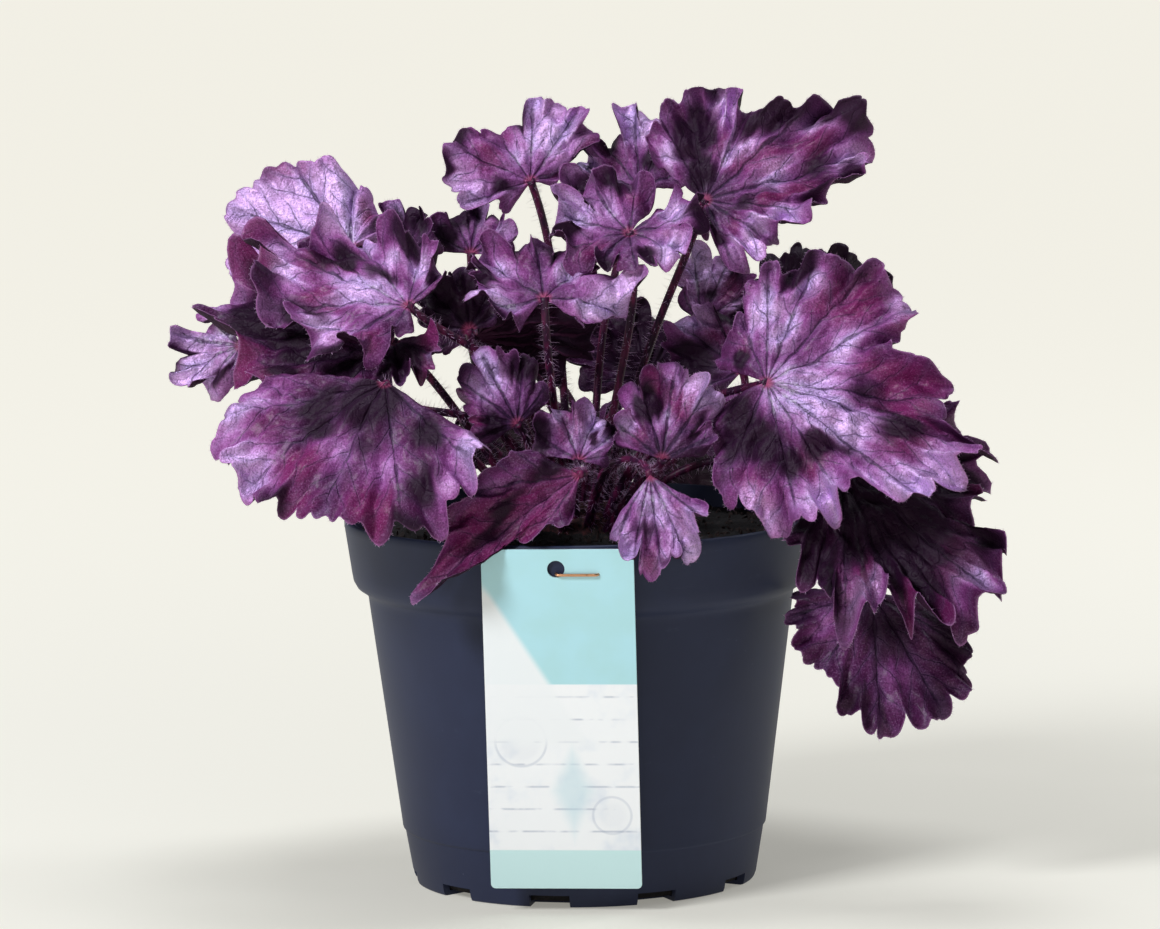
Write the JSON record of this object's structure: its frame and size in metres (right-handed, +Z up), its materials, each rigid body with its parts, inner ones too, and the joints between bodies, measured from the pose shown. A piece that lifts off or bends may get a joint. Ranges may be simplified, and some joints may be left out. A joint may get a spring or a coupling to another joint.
{
  "type": "potted heuchera plant",
  "caption": "Heuchera with ruffled, lobed plum leaves on slender stalks, growing in a round plastic nursery pot that has a card label stapled to its rim.",
  "frame": {"origin": "middle of the flat underside of the pot, which is what the plant stands on", "axes": "+Z up out of the pot, -Y towards the side that carries the label, +X to the right when facing the label"},
  "size_m": [0.2655, 0.2018, 0.2555],
  "materials": {
    "pot_plastic": "satin",
    "potting_mix": "matte",
    "crown_bark": "matte",
    "label_card": "satin",
    "staple_copper": "satin",
    "leaf_plum": "satin"
  },
  "bodies": {
    "root": {"pot": "pot_plastic", "soil": "potting_mix", "crown": "crown_bark", "label": "label_card", "staple": "staple_copper", "leaf_back_centre": "leaf_plum", "leaf_back_high": "leaf_plum", "leaf_back_left": "leaf_plum", "leaf_back_left_low": "leaf_plum", "leaf_back_left_outer": "leaf_plum", "leaf_back_middle": "leaf_plum", "leaf_back_right": "leaf_plum", "leaf_back_right_low": "leaf_plum", "leaf_centre": "leaf_plum", "leaf_centre_under": "leaf_plum", "leaf_front_centre": "leaf_plum", "leaf_front_folded": "leaf_plum", "leaf_front_hanging": "leaf_plum", "leaf_front_small": "leaf_plum", "leaf_gap_dark": "leaf_plum", "leaf_left_inner": "leaf_plum", "leaf_inner_dark": "leaf_plum", "leaf_left_low": "leaf_plum", "leaf_left_middle": "leaf_plum", "leaf_left_outer": "leaf_plum", "leaf_left_top": "leaf_plum", "leaf_left_upper": "leaf_plum", "leaf_right_behind": "leaf_plum", "leaf_right_big": "leaf_plum", "leaf_right_hanging": "leaf_plum", "leaf_right_inner": "leaf_plum", "leaf_right_low": "leaf_plum", "leaf_right_middle": "leaf_plum", "leaf_top_back": "leaf_plum", "leaf_top_centre": "leaf_plum", "leaf_top_front": "leaf_plum", "leaf_top_right": "leaf_plum"}
  },
  "joints": []
}
